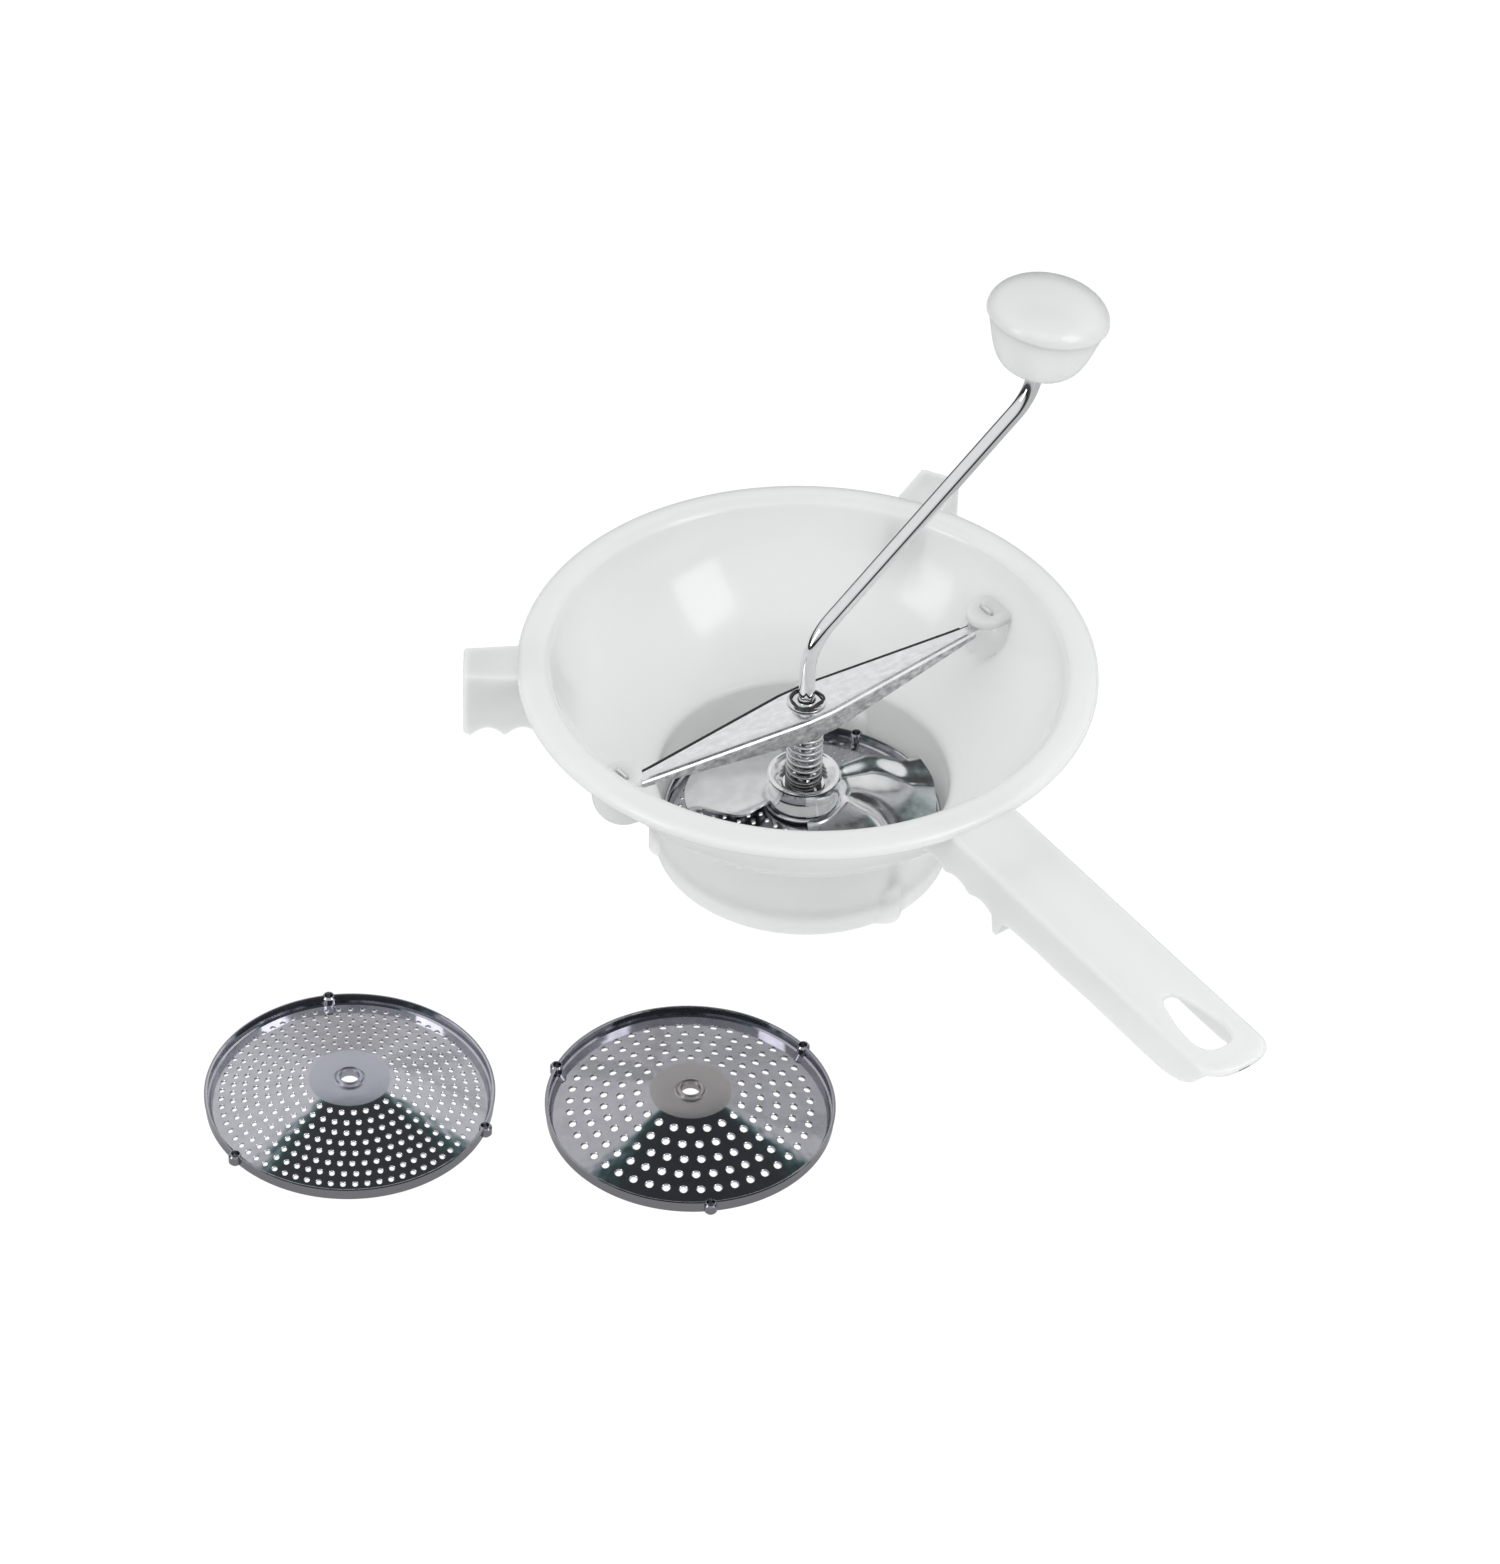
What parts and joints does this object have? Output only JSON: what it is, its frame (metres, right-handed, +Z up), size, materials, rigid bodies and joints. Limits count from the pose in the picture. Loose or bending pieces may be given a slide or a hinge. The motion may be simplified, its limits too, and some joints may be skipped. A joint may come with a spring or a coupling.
{
  "type": "rotary food mill",
  "caption": "Hand-cranked food mill and ricer: a flared moulded bowl with a handle and rim hooks, a sprung crank turning a blade over a perforated disc, and loose discs.",
  "frame": {"origin": "on the table, under the middle of the bounding box of the mill and its loose discs", "axes": "+Z up along the crank's axis, +X from the bowl along the long handle, +Y along the bridge towards the end the crank arm points to"},
  "size_m": [0.404, 0.4422, 0.2464],
  "materials": {
    "moulding": "glossy moulded plastic, near white",
    "knob": "glossy moulded plastic, near white",
    "rod": "bright plated round bar",
    "sheet": "satin rolled sheet",
    "coil": "bright drawn spring wire",
    "pressing": "polished tinned pressing",
    "disc": "tinned sheet, mirror side up"
  },
  "bodies": {
    "mill": {"bowl": "moulding", "long_handle": "moulding", "back_hook": "moulding", "left_hook": "moulding", "bridge": "sheet", "bridge_bushing": "pressing", "spring_top_washer": "sheet", "spring": "coil", "fitted_disc": "disc"},
    "spring_seat": {"spring_cup": "pressing"},
    "crank": {"crank_rod": "rod", "rod_clip": "rod", "blade_hub": "pressing", "blade": "pressing", "blade_rivet": "pressing", "knob_retainer": "sheet"},
    "knob": {"knob_cup": "knob", "knob_cap": "knob"},
    "medium_disc": {"spare_disc_medium": "disc"},
    "coarse_disc": {"spare_disc_coarse": "disc"}
  },
  "joints": [
    {"name": "shaft_lift", "type": "slide", "parent": "mill", "child": "spring_seat", "axis": [0, 0, 1], "range_m": [0, 0.008], "stiffness_N_per_m": 1000, "springref_m": -0.01, "deforming": ["spring"]},
    {"name": "crank_spin", "type": "hinge", "parent": "spring_seat", "child": "crank", "pos_m": [-0.082, 0.08592, 0.06], "axis": [0, 0, 1], "continuous": true},
    {"name": "knob_spin", "type": "hinge", "parent": "crank", "child": "knob", "pos_m": [-0.07384, 0.18959, 0.1945], "axis": [0.0129, 0.1645, 0.9863], "continuous": true},
    {"name": "medium_disc_lift", "type": "slide", "parent": "mill", "child": "medium_disc", "axis": [0, 0, 1], "range_m": [0, 0.06]},
    {"name": "coarse_disc_lift", "type": "slide", "parent": "mill", "child": "coarse_disc", "axis": [0, 0, 1], "range_m": [0, 0.06]}
  ]
}
